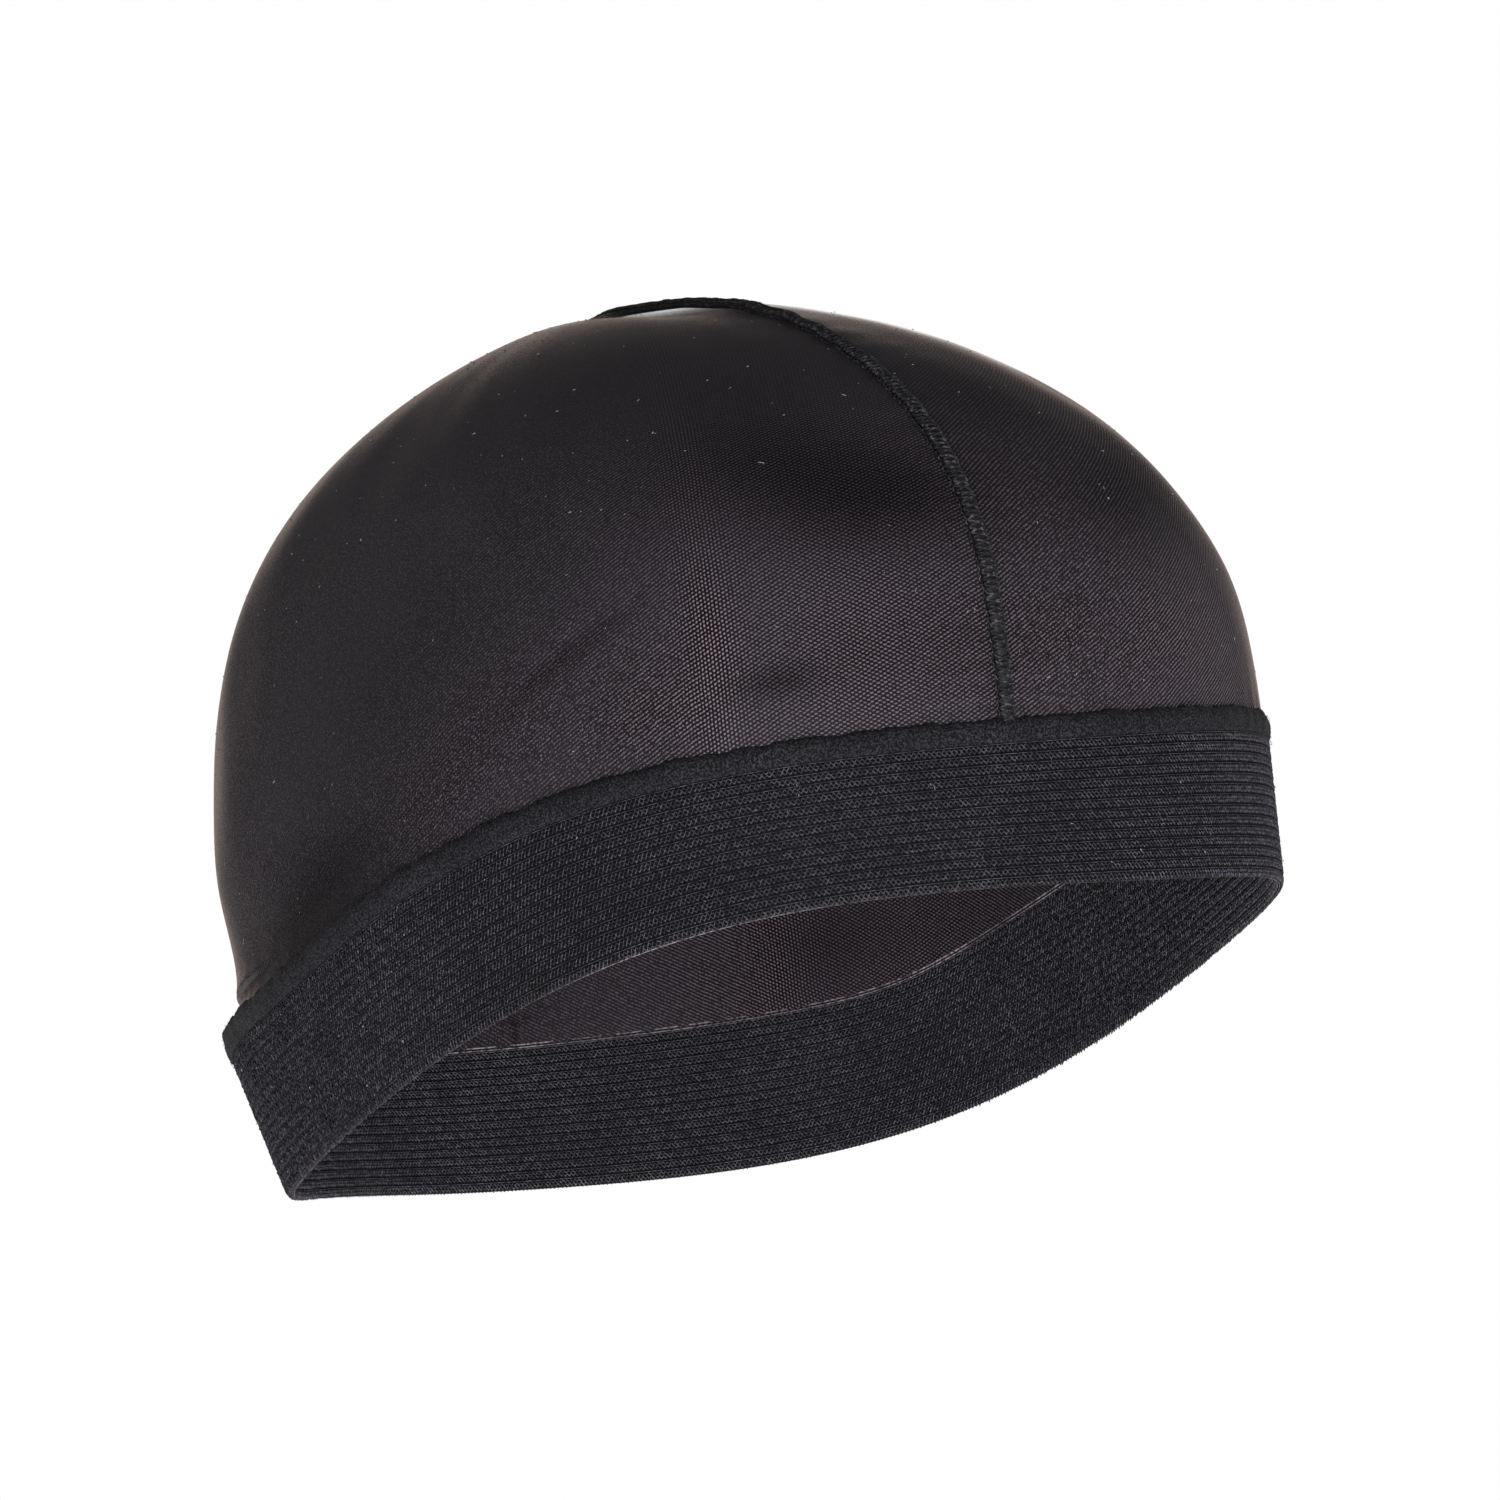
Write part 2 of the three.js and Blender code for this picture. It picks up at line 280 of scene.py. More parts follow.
def ripples(turn, height, x):
    """Small gathers along the band and the seam, a sharp crease, a droop over the band and slow waves."""
    above = np.maximum(height, 0) * CROWN_HEIGHT
    degrees = around(turn, 0)
    gathers = 0.16 * np.exp(-above / 5) * np.sin(71 * turn + 2.2 * np.sin(9 * turn) + 0.15 * above)
    seam_side = 0.16 * np.exp(-np.abs(x) / 5) * np.sin(above * 1.1 + 1.7 * np.sin(above * 0.13))
    crease = 0.55 * np.exp(-np.abs(around(turn, -29)) / 2.2) * spot(np.maximum(height - 0.2, 0) / 0.36, 0)
    under = 1 / (1 + np.exp((above - DROOP_HEIGHT) / 0.28))
    over = np.exp(-np.maximum(above - DROOP_HEIGHT, 0) / 2.2) * (1 - under)
    droop = (over * 0.7 - 0.5 * under * np.minimum(above / 2.5, 1)) * spot((degrees + 116) / 13, 0)
    waves = 0.16 * np.sin(5 * turn + 9 * height) + 0.12 * np.sin(11 * turn - 13 * height + 1.3)
    waves = waves + 0.08 * np.sin(23 * turn + 21 * height + 0.7)
    return gathers + seam_side + crease + droop + waves * np.sin(math.pi * np.clip(height, 0, 1))


def crown_point(turn, climb):
    """The crown's outer face."""
    point = smooth_crown(turn, climb)
    height = height_share(turn, point)
    folds = (amounts(FOLDS, turn, height) + ripples(turn, height, point[..., 0])) * (1 - climb**EDGE_FADE)
    inset = CROWN_INSET * (1 - climb) ** EDGE_FADE
    tent = SEAM_LIFT * np.maximum(height, 0) ** EDGE_FADE * spot(point[..., 0] / SEAM_TENT, 0)
    dent = TOP_DENT["depth"] * spot(
        (point[..., 0] - TOP_DENT["x"]) / TOP_DENT["wide"], (point[..., 1] - TOP_DENT["y"]) / TOP_DENT["deep"]
    ) * (height > 0.8)
    return point + crown_normal(turn, climb) * (folds + tent - inset - dent)[..., None]


def even_turns(count, share=0.5):
    """Turns at even steps along the band, for a whole round."""
    fine = np.linspace(0, FULL_TURN, 4001)
    line = band_point(fine, np.full_like(fine, share))
    run = np.concatenate([[0], np.cumsum(np.linalg.norm(np.diff(line, axis=0), axis=1))])
    return np.interp(np.arange(count) / count * run[-1], run, fine)


def ring_quads(count, around_section, closed):
    """Quads between neighbouring loops of points; a closed ring's last loop joins its first."""
    i = np.arange(count if closed else count - 1)[:, None]
    k = np.arange(around_section)[None]
    j, n = (i + 1) % count, (k + 1) % around_section
    at = [loop * around_section + place for loop, place in ((i, k), (j, k), (j, n), (i, n))]
    return np.stack(at, -1).reshape(-1, 4)


def tubes(paths, ups, section, closed=False):
    """Sweeps a small section of (aside, above) along each path in an array of paths x points x 3."""
    if closed:
        along = np.roll(paths, -1, 1) - np.roll(paths, 1, 1)
    else:
        along = np.gradient(paths, axis=1)
    along = unit(along)
    aside = unit(np.cross(along, ups))
    above = np.cross(aside, along)
    section = np.asarray(section, float)
    points = paths[:, :, None] + aside[:, :, None] * section[:, :1] + above[:, :, None] * section[:, 1:]
    many, count, sides = points.shape[:3]
    first = (np.arange(many) * count * sides)[:, None, None]
    faces = [(ring_quads(count, sides, closed)[None] + first).reshape(-1, 4)]
    if not closed:
        ends = np.stack([np.arange(sides), (count - 1) * sides + np.arange(sides)[::-1]])
        faces.append((ends[None] + first).reshape(-1, sides))
    return points.reshape(-1, 3), faces


def round_section(radius, sides, flat=1.0):
    """A round section of a few sides, flattened to a share of its height."""
    angles = np.arange(sides) / sides * FULL_TURN + math.pi / 2
    return np.stack([radius * np.cos(angles), radius * flat * np.sin(angles)], -1)


def joined(parts):
    """One mesh from several, each a pair of points and face arrays."""
    points, faces, count = [], [], 0
    for part_points, part_faces in parts:
        points.append(part_points)
        faces.extend(group + count for group in part_faces)
        count += len(part_points)
    return np.concatenate(points), faces


def make_piece(name, shape, material, replaces=(), looks=None):
    """An object in metres from points in millimetres and arrays of faces, riding on the cap."""
    points, faces = shape
    mesh = bpy.data.meshes.new(name)
    mesh.vertices.add(len(points))
    mesh.vertices.foreach_set("co", (np.asarray(points) * MM).astype(np.float32).ravel())
    corners = np.concatenate([group.ravel() for group in faces]).astype(np.int32)
    sizes = np.concatenate([np.full(len(group), group.shape[1]) for group in faces])
    starts = np.concatenate([[0], np.cumsum(sizes)[:-1]]).astype(np.int32)
    mesh.loops.add(len(corners))
    mesh.loops.foreach_set("vertex_index", corners)
    mesh.polygons.add(len(sizes))
    mesh.polygons.foreach_set("loop_start", starts)
    mesh.polygons.foreach_set("use_smooth", np.ones(len(sizes), bool))
    for key, values in (looks or {}).items():
        numbers = values.astype(np.float32).ravel()
        mesh.attributes.new(key, "FLOAT", "POINT").data.foreach_set("value", numbers)
    mesh.materials.append(material)
    mesh.update(calc_edges=True)
    mesh.validate()
    piece = bpy.data.objects.new(name, mesh)
    bpy.context.scene.collection.objects.link(piece)
    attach(piece, "root")
    if replaces:
        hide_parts(*replaces)
    return piece


class Nodes:
    """Short names for building a material's nodes."""

    def __init__(self, name):
        self.material = bpy.data.materials.new(name)
        self.material.use_nodes = True
        self.tree = self.material.node_tree
        self.shader = self.tree.nodes["Principled BSDF"]

    def add(self, kind, **values):
        node = self.tree.nodes.new(kind)
        for key, value in values.items():
            setattr(node, key, value)
        return node

    def link(self, source, target):
        self.tree.links.new(source, target)

    def math(self, operation, a, b=0.0, c=None):
        node = self.add("ShaderNodeMath", operation=operation)
        for index, value in enumerate((a, b) if c is None else (a, b, c)):
            if isinstance(value, (int, float)):
                node.inputs[index].default_value = value
            else:
                self.link(value, node.inputs[index])
        return node.outputs[0]

    def noise(self, vector, scale, detail=2.0, rough=0.5):
        node = self.add("ShaderNodeTexNoise")
        self.link(vector, node.inputs["Vector"])
        node.inputs["Scale"].default_value = scale
        node.inputs["Detail"].default_value = detail
        node.inputs["Roughness"].default_value = rough
        return node.outputs["Fac"]

    def span(self, value, low, high, to_low=0.0, to_high=1.0, smooth=True):
        node = self.add("ShaderNodeMapRange")
        node.interpolation_type = "SMOOTHSTEP" if smooth else "LINEAR"
        self.link(value, node.inputs["Value"])
        for key, number in (("From Min", low), ("From Max", high), ("To Min", to_low), ("To Max", to_high)):
            node.inputs[key].default_value = number
        return node.outputs["Result"]

    def mix(self, factor, a, b):
        node = self.add("ShaderNodeMix", data_type="RGBA")
        if isinstance(factor, (int, float)):
            node.inputs["Factor"].default_value = factor
        else:
            self.link(factor, node.inputs["Factor"])
        for socket, value in ((node.inputs[6], a), (node.inputs[7], b)):
            if isinstance(value, tuple):
                socket.default_value = (*value, 1)
            else:
                self.link(value, socket)
        return node.outputs[2]

    def scaled(self, colour, factor):
        node = self.add("ShaderNodeVectorMath", operation="SCALE")
        self.link(colour, node.inputs[0])
        self.link(factor, node.inputs["Scale"])
        return node.outputs[0]

    def bump(self, height, strength, distance):
        node = self.add("ShaderNodeBump")
        self.link(height, node.inputs["Height"])
        node.inputs["Strength"].default_value = strength
        node.inputs["Distance"].default_value = distance
        self.link(node.outputs["Normal"], self.shader.inputs["Normal"])

    def place(self):
        return self.add("ShaderNodeTexCoord").outputs["Object"]

    def set(self, **values):
        for key, value in values.items():
            socket = self.shader.inputs[key.replace("_", " ")]
            socket.default_value = (*value, 1) if isinstance(value, tuple) else value


KNIT_LOOKS = ("knit_along", "knit_up", "stretch", "shade", "crossing", "columns", "clear", "plain", "sheer")


def crown_knit_material():
    """Sheer tricot: fine slanting rows of bright yarn over dark gaps, lighter where the knit is pulled taut
    and where highlight is painted, with painted light and shade.
    """
    n = Nodes("crown_knit")
    place = n.place()
    looks = {
        key: n.add("ShaderNodeAttribute", attribute_name=key).outputs["Fac"]
        for key in KNIT_LOOKS
    }
    sway = n.math("MULTIPLY", n.math("SUBTRACT", n.noise(place, 110.0, 3.0), 0.5), 2.4)
    along = n.math("ADD", n.math("MULTIPLY", looks["knit_along"], FULL_TURN / KNIT_WIDTH), sway)
    up = n.math("MULTIPLY", looks["knit_up"], FULL_TURN / KNIT_HEIGHT)
    rising = n.math("COSINE", n.math("SUBTRACT", along, up))
    falling = n.math("COSINE", n.math("ADD", along, up))
    columns = n.math("COSINE", n.math("MULTIPLY", along, 2.0))
    lattice = n.math("ADD", rising, n.math("MULTIPLY", falling, looks["crossing"]))
    lattice = n.math("ADD", lattice, n.math("MULTIPLY", columns, looks["columns"]))
    grain = n.math("SUBTRACT", n.noise(place, 3600.0, 1.0), 0.5)
    grain = n.math("MULTIPLY", grain, n.span(looks["clear"], 0.0, 1.0, 5.5, 2.3, smooth=False))
    lattice = n.math("ADD", n.math("MULTIPLY", lattice, looks["clear"]), grain)
    yarn = n.span(lattice, -0.1, 1.3)
    plain = n.math("MULTIPLY", looks["plain"], PLAIN_STRENGTH)
    even = n.math("MULTIPLY", n.math("SUBTRACT", PLAIN_YARN, yarn), plain)
    yarn = n.math("ADD", yarn, even)
    patchy = n.span(n.noise(place, 60.0, 3.0), 0.3, 0.7, 0.75, 1.25, smooth=False)
    # Share of the lighter colours: partly real stretching, partly painted highlight
    stretched = n.math("MULTIPLY", looks["stretch"], patchy)
    gaps = n.mix(stretched, (0.028, 0.0252, 0.0296), (0.009, 0.0069, 0.008))
    threads = n.mix(stretched, (0.125, 0.106, 0.128), (0.226, 0.182, 0.213))
    # The knit's colour, scaled by the painted light and shade
    n.link(n.scaled(n.mix(yarn, gaps, threads), looks["shade"]), n.shader.inputs["Base Color"])
    see = n.math("MULTIPLY", looks["sheer"], n.span(yarn, 0.0, 1.0, 1.1, 0.35))
    n.link(n.math("SUBTRACT", 1.0, see), n.shader.inputs["Alpha"])
    n.set(Roughness=0.22, Specular_IOR_Level=0.014)
    n.set(Sheen_Weight=0.05, Sheen_Roughness=0.2, Sheen_Tint=(1.0, 0.74, 0.62))
    n.bump(yarn, 0.6, 0.00012)
    return n.material


def yarn_material(
    name, dark, light, roughness, grain=1600.0, sheen=0.04, low=0.35, high=0.7, patches=0.7, fuzz_and_shine=1.0,
):
    """Dark spun yarn with fine mottling, down to a share of its brightness in broad patches.

    The last argument is how bright it is where the piece has fuzz, and on the rim yarn away from its painted
    shine, as a share of the rest.
    """
    n = Nodes(name)
    place = n.place()
    fine = n.noise(place, grain, 2.0, 0.6)
    broad = n.span(n.noise(place, 90.0, 3.0), 0.35, 0.65, patches, 1.0)
    mottled = n.math("MULTIPLY", n.span(fine, low, high), broad)
    colour = n.mix(mottled, dark, light)
    if fuzz_and_shine != 1.0:
        share = n.add("ShaderNodeAttribute", attribute_name="fuzz_and_shine").outputs["Fac"]
        colour = n.scaled(colour, n.span(share, 0.0, 1.0, 1.0, fuzz_and_shine, smooth=False))
    n.link(colour, n.shader.inputs["Base Color"])
    n.set(Roughness=roughness, Specular_IOR_Level=0.12)
    n.set(Sheen_Weight=sheen, Sheen_Roughness=0.3, Sheen_Tint=(1.0, 0.85, 0.78))
    n.bump(fine, 0.4, 0.00008)
    return n.material


crown_knit = crown_knit_material()
band_ground = yarn_material(
    "band_ground", (0.003, 0.003, 0.0035), (0.007, 0.007, 0.008), 0.9, sheen=0.0, fuzz_and_shine=3.5,
)
band_yarn = yarn_material(
    "band_yarn", (0.028, 0.0270, 0.0345), (0.160, 0.153, 0.192), 0.7, 1900.0, low=0.40, high=0.66,
    patches=0.75, fuzz_and_shine=0.76,
)
# The band's yarn painted about a fifth lighter, as painted light on the shaded inner face of the band
inner_yarn_painted_light = yarn_material(
    "inner_yarn_painted_light", (0.034, 0.0330, 0.0410), (0.195, 0.187, 0.232), 0.7, 1900.0, low=0.40, high=0.66,
    patches=0.75, fuzz_and_shine=0.85,
)
strip_thread = yarn_material(
    "strip_thread", (0.006, 0.0058, 0.0072), (0.052, 0.0500, 0.0610), 0.9, 3400.0, low=0.42, high=0.68,
    fuzz_and_shine=1.15,
)
seam_base = yarn_material("seam_base", (0.010, 0.0095, 0.011), (0.030, 0.028, 0.033), 0.4, 2200.0)
seam_thread = yarn_material(
    "seam_thread", (0.018, 0.0170, 0.0200), (0.120, 0.112, 0.130), 0.4, 1500.0, low=0.46, high=0.72,
)
# On the rim yarn this keeps a fifth of the brightness away from its painted shine
edge_thread = yarn_material(
    "edge_thread", (0.024, 0.0215, 0.024), (0.46, 0.390, 0.425), 0.6, 1500.0, low=0.3,
    patches=0.4, fuzz_and_shine=0.2,
)
lint_fibre = yarn_material("lint_fibre", (0.16, 0.16, 0.17), (0.55, 0.54, 0.55), 0.7)


def crown_climbs():
    """The climbs of the crown's rows: fine steps over the band, wider ones up to just under the top."""
    fine = np.linspace(0, 1, 4001)
    line = smooth_crown(np.full_like(fine, -FULL_TURN / 4), fine)
    run = np.concatenate([[0], np.cumsum(np.linalg.norm(np.diff(line, axis=0), axis=1))])
    low = np.linspace(0, LOW_ZONE, LOW_ROWS, endpoint=False)
    high = np.linspace(LOW_ZONE, run[-1], HIGH_ROWS, endpoint=False)
    return np.interp(np.concatenate([low, high]), run, fine)


def knit_places(outer, middle):
    """The knit's own directions in millimetres: along its rows from a middle column, and up the cloth."""
    climb = np.linalg.norm(np.diff(outer, axis=0), axis=2).cumsum(0)
    up = outer[0, :, 2] + np.vstack([np.zeros((1, outer.shape[1])), climb])
    run = np.linalg.norm(np.diff(outer[..., :2], axis=1), axis=2).cumsum(1)
    run = np.hstack([np.zeros((outer.shape[0], 1)), run])
    return run - run[:, middle:middle + 1], up


def crown_looks(turn, outer):
    """How taut, crossed, ribbed, clear, plain and sheer the knit is at each place, and where light and shade
    are painted on it.
    """
    height = height_share(turn, outer)
    sheer = sum(
        s["amount"] * spot((outer[..., 0] - s["x"]) / s["wide"], (outer[..., 1] - s["y"]) / s["deep"])
        * spot((outer[..., 2] - s["z"]) / s["tall"], 0)
        for s in SHEER_SPOTS
    )
    return dict(
        # Partly real stretching of the knit, partly painted highlight
        stretch=np.clip(amounts(STRETCH_AND_HIGHLIGHT_SPOTS, turn, height), 0, 1),
        # The painted light and shade, as a factor on the crown's colour
        shade=np.clip(1 + amounts(SHADES, turn, height), 0.2, 1.3),
        crossing=0.12 + 0.8 * most(turn, CROSSINGS),
        columns=0.9 * most(turn, COLUMNS),
        clear=0.2 + 0.8 * most(turn, CLEAR_KNIT),
        plain=1 / (1 + np.exp((PLAIN_ABOVE - height) / 0.05)),
        sheer=np.clip(sheer, 0, 0.97),
    )


def crown_half(name, side, node):
    """Half of the crown as a thin sheet, from its edge in the strip up to the top; side -1 is the right."""
    turns = np.linspace(0, math.pi, CROWN_COLUMNS + 1) + (0 if side > 0 else -math.pi)
    turn, climb = np.meshgrid(turns, crown_climbs())
    outer = crown_point(turn, climb)
    normal = crown_normal(turn, climb)
    skirt_turn, skirt_share = np.meshgrid(turns, np.linspace(*SKIRT_SHARES, SKIRT_ROWS))
    skirt_normal = outwards(band_point, skirt_turn, skirt_share)
    skirt = band_point(skirt_turn, skirt_share) - skirt_normal * CROWN_INSET
    turn = np.vstack([skirt_turn, turn])
    outer = np.concatenate([skirt, outer])
    normal = np.concatenate([skirt_normal, normal])
    outer[:, [0, -1], 0] = 0
    normal[:, [0, -1], 0] = 0
    outer[..., 0] += side * CLOTH_GAP / 2
    top = crown_point(np.array([0.0]), np.array([1.0]))[0] + (side * CLOTH_GAP / 2, 0, 0)
    middle = round((KNIT_MIDDLES[side] / 180 + (0 if side > 0 else 1)) * CROWN_COLUMNS)
    along, up = knit_places(outer, middle)
    looks = dict(knit_along=along, knit_up=up, **crown_looks(turn, outer))
    rows, columns = turn.shape
    sheet = rows * columns + 1
    inner = outer - normal * CROWN_CLOTH
    inner_top = top - (0, 0, CROWN_CLOTH)
    points = np.concatenate([outer.reshape(-1, 3), top[None], inner.reshape(-1, 3), inner_top[None]])
    values = {}
    for key, grid in looks.items():
        flat = np.append(grid.ravel(), grid[-1].mean())
        values[key] = np.concatenate([flat, flat])
    index = np.arange(rows * columns).reshape(rows, columns)
    quads = np.stack([index[:-1, :-1], index[:-1, 1:], index[1:, 1:], index[1:, :-1]], -1).reshape(-1, 4)
    fan = np.stack([index[-1, :-1], index[-1, 1:], np.full(columns - 1, sheet - 1)], -1)
    low = np.stack([index[0, :-1] + sheet, index[0, 1:] + sheet, index[0, 1:], index[0, :-1]], -1)
    first, last = np.append(index[:, 0], sheet - 1), np.append(index[:, -1], sheet - 1)
    sides = np.stack([first[:-1], first[1:], first[1:] + sheet, first[:-1] + sheet], -1)
    others = np.stack([last[:-1] + sheet, last[1:] + sheet, last[1:], last[:-1]], -1)
    faces = [quads, quads[:, ::-1] + sheet, fan, fan[:, ::-1] + sheet, low, sides, others]
    return make_piece(name, (points, faces), crown_knit, [node], values)


def rib_swell(share_of_band, ribs):
    """How far the ribs stand out, for shares from 0 to 1 of the elastic's own height."""
    edge = np.minimum(np.minimum(share_of_band, 1 - share_of_band) * ribs * 2, 1)
    return RIB_SWELL * np.abs(np.sin(math.pi * (ribs * share_of_band + 0.1))) ** 0.6 * edge


def taper(share_of_band):
    """How much each face of the elastic draws in towards its lower rim."""
    return RIM_TAPER * np.exp(-40 * share_of_band)


def band_surface(turn, share, offset):
    """A point at a share of the height up to the crown, moved out by an offset from the outer face."""
    return band_point(turn, share) + outwards(band_point, turn, share) * np.asarray(offset)[..., None]


def ring_of_sections(points):
    """A closed ring from an array of rounds x section x 3, whose sections are closed loops."""
    rounds, section = points.shape[:2]
    return points.reshape(-1, 3), [ring_quads(rounds, section, True)]


def elastic_band():
    """The elastic's ribbed ground cloth, its two faces and its edges."""
    turns = even_turns(380)
    rising = np.linspace(0.006, 0.994, OUTER_RIBS * 3 + 1)
    rising_inside = np.linspace(0.006, 0.994, INNER_RIBS * 3 + 1)
    shares = np.concatenate([rising * OUTER_SHARE, rising_inside[::-1] * INNER_SHARE])
    outside = rib_swell(rising, OUTER_RIBS) - taper(rising)
    inside = -BAND_CLOTH - rib_swell(rising_inside, INNER_RIBS) + taper(rising_inside)
    turn, share = np.meshgrid(turns, shares, indexing="ij")
    offsets = np.broadcast_to(np.concatenate([outside, inside[::-1]]), turn.shape)
    looks = dict(fuzz_and_shine=most(turn, FUZZY_BANDS))
    shape = ring_of_sections(band_surface(turn, share, offsets))
    return make_piece("elastic_band_cloth", shape, band_ground, ["elastic_band"], looks)


def face_of(outside):
    """Ribs, height share, direction outwards, ground offset and yarn of one face of the elastic."""
    if outside:
        return OUTER_RIBS, OUTER_SHARE, 1, 0.0, band_yarn
    # The inner face takes the band's yarn painted lighter
    return INNER_RIBS, INNER_SHARE, -1, -BAND_CLOTH, inner_yarn_painted_light


def band_yarns(name, outside, high):
    """One zigzag yarn on each rib, the higher or the lower."""
    ribs, height, face, ground, material = face_of(outside)
    count = 2 * STITCHES_ROUND
    turns = even_turns(count)
    zigzag = np.where(np.arange(count) % 2, 1.0, -1.0)
    middle, direction = (0.51, 1) if high else (0.19, -1)
    random = np.random.default_rng(21 if high else 22)
    fuzz_and_shine = most(turns, FUZZY_BANDS)
    paths, ups = [], []
    for rib in range(ribs):
        swing = direction * (0.140 + 0.11 * fuzz_and_shine) * zigzag
        share = (rib + middle + swing + random.normal(0, 0.02, count) * (1 + 2.5 * fuzz_and_shine)) / ribs
        lift = RIB_SWELL + 0.03 - taper(share) + random.normal(0, 0.03, count) * (1 + 1.5 * fuzz_and_shine)
        share = share * height
        paths.append(band_surface(turns, share, ground + face * lift))
        ups.append(face * outwards(band_point, turns, share))
    sides = 3
    shape = tubes(np.array(paths), np.array(ups), round_section(STITCH_YARN, sides, 0.8), closed=True)
    looks = dict(fuzz_and_shine=np.tile(np.repeat(fuzz_and_shine, sides), ribs))
    return make_piece(name, shape, material, looks=looks)


def rib_lines(name, outside):
    """A straight yarn along the groove over each rib."""
    ribs, height, face, ground, material = face_of(outside)
    count = 260
    turns = even_turns(count)
    paths, ups = [], []
    for rib in range(ribs):
        share = np.full(count, (rib + 0.80) / ribs * height)
        paths.append(band_surface(turns, share, np.full(count, ground + face * 0.15)))
        ups.append(face * outwards(band_point, turns, share))
    shape = tubes(np.array(paths), np.array(ups), round_section(0.08, 3), closed=True)
    return make_piece(name, shape, material)


def edge_threads():
    """The finished yarns along the band's lower rim and inside its upper edge; the rim yarn has a painted
    shine at the front.
    """
    count, sides = 560, 6
    turns = even_turns(count)
    full = np.ones((1, count))
    # The rim yarn is dimmed except at its painted shine
    dull = 1 - most(turns, [RIM_PAINTED_SHINE])
    parts, dulls = [], []
    for share, offset, radius in (
        (0.000, -0.40, 0.07), (1.004, -BAND_CLOTH - 0.32, 0.13), (0.984, -BAND_CLOTH - 0.32, 0.09),
    ):
        path = band_surface(turns[None], full * share, full * offset)
        up = outwards(band_point, turns[None], full * 0.5)
        parts.append(tubes(path, up, round_section(radius, sides), closed=True))
        dulls.append(np.repeat(dull if share == 0 else 0 * dull, sides))
    looks = dict(fuzz_and_shine=np.concatenate(dulls))
    return make_piece("band_edge_threads", joined(parts), edge_thread, looks=looks)


def join_strip():
    """The swollen overlocked strip between the band and the crown."""
    rounds = 900
    turns = even_turns(rounds, 0.9)
    # across is a share of the strip's height, out is in millimetres from the band's face
    section = np.array([
        (0.0, -0.1), (0.04, 0.28), (0.14, 0.50), (0.3, 0.62), (0.45, 0.68), (0.6, 0.70), (0.74, 0.62),
        (0.86, 0.42), (0.95, 0.12), (1.0, -0.25), (0.9, -0.45), (0.6, -0.5), (0.3, -0.5), (0.05, -0.45),
    ])
    across, out = section[:, 0], section[:, 1]
    random = np.random.default_rng(11)
    lumps = sum(a * np.sin(k * turns + p) for a, k, p in ((0.10, 31, 1.0), (0.08, 53, 2.5), (0.08, 97, 4.1)))
    turn = np.repeat(turns[:, None], len(section), 1)
    ragged = random.uniform(-0.04, 0.04, (rounds, 1)) + 0.3 * lumps[:, None]
    share = STRIP_START + (STRIP_END - STRIP_START) * (across[None] + ragged * (across[None] > 0.7))
    offset = out[None] * (1 + lumps[:, None] * (out[None] > 0))
    offset = offset + random.uniform(-0.06, 0.06, offset.shape) * (out[None] > 0.2)
    points = band_point(turn, share) + outwards(band_point, turn, share) * offset[..., None]
    looks = dict(fuzz_and_shine=most(turn, FUZZY_BANDS))
    shape = ring_of_sections(points)
    return make_piece(
        "band_join_strip", shape, strip_thread, ["band_join_seam"], looks,
    )


def seam_line(samples):
    """The crown's centre line from the front of the band over the top to the nape, at even steps."""
    fine = np.linspace(0, 2, 4001)
    turn = np.where(fine <= 1, 0.0, math.pi)
    climb = np.where(fine <= 1, fine, 2 - fine)
    line = crown_point(turn, climb)
    up = crown_normal(turn, climb)
    up[np.abs(fine - 1) < 0.01] = (0, 0, 1)
    line[:, 0] = 0
    up[:, 0] = 0
    run = np.concatenate([[0], np.cumsum(np.linalg.norm(np.diff(line, axis=0), axis=1))])
    at = np.linspace(0, run[-1], samples)
    path = np.stack([np.interp(at, run, line[:, k]) for k in range(3)], -1)
    rise = unit(np.stack([np.interp(at, run, up[:, k]) for k in range(3)], -1))
    return path, rise, run[-1]


def seam_height(aside):
    """Height of the ridge's rounded back over the cloth, at a distance from its middle."""
    return SEAM_RISE * np.sqrt(np.maximum(1 - (aside / SEAM_HALF) ** 2, 0))


def seam_sink(path):
    """How far the ridge lies sunk into the cloth, in millimetres: pressed flat over the top."""
    return SEAM_RISE * spot((path[:, 1] - SINK_MIDDLE) / SINK_REACH, 0)


def centre_seam():
    """The ridge of the centre seam under its threads."""
    path, up, _ = seam_line(600)
    path = path - up * seam_sink(path)[:, None]
    aside = np.linspace(0.86, -0.86, 9) * SEAM_HALF
    section = np.stack([aside, seam_height(aside)], -1)
    section[[0, -1], 1] = -SEAM_DEPTH
    shape = tubes((path + up * 0.15)[None], up[None], section)
    return make_piece("centre_seam_ridge", shape, seam_base, ["centre_seam"])


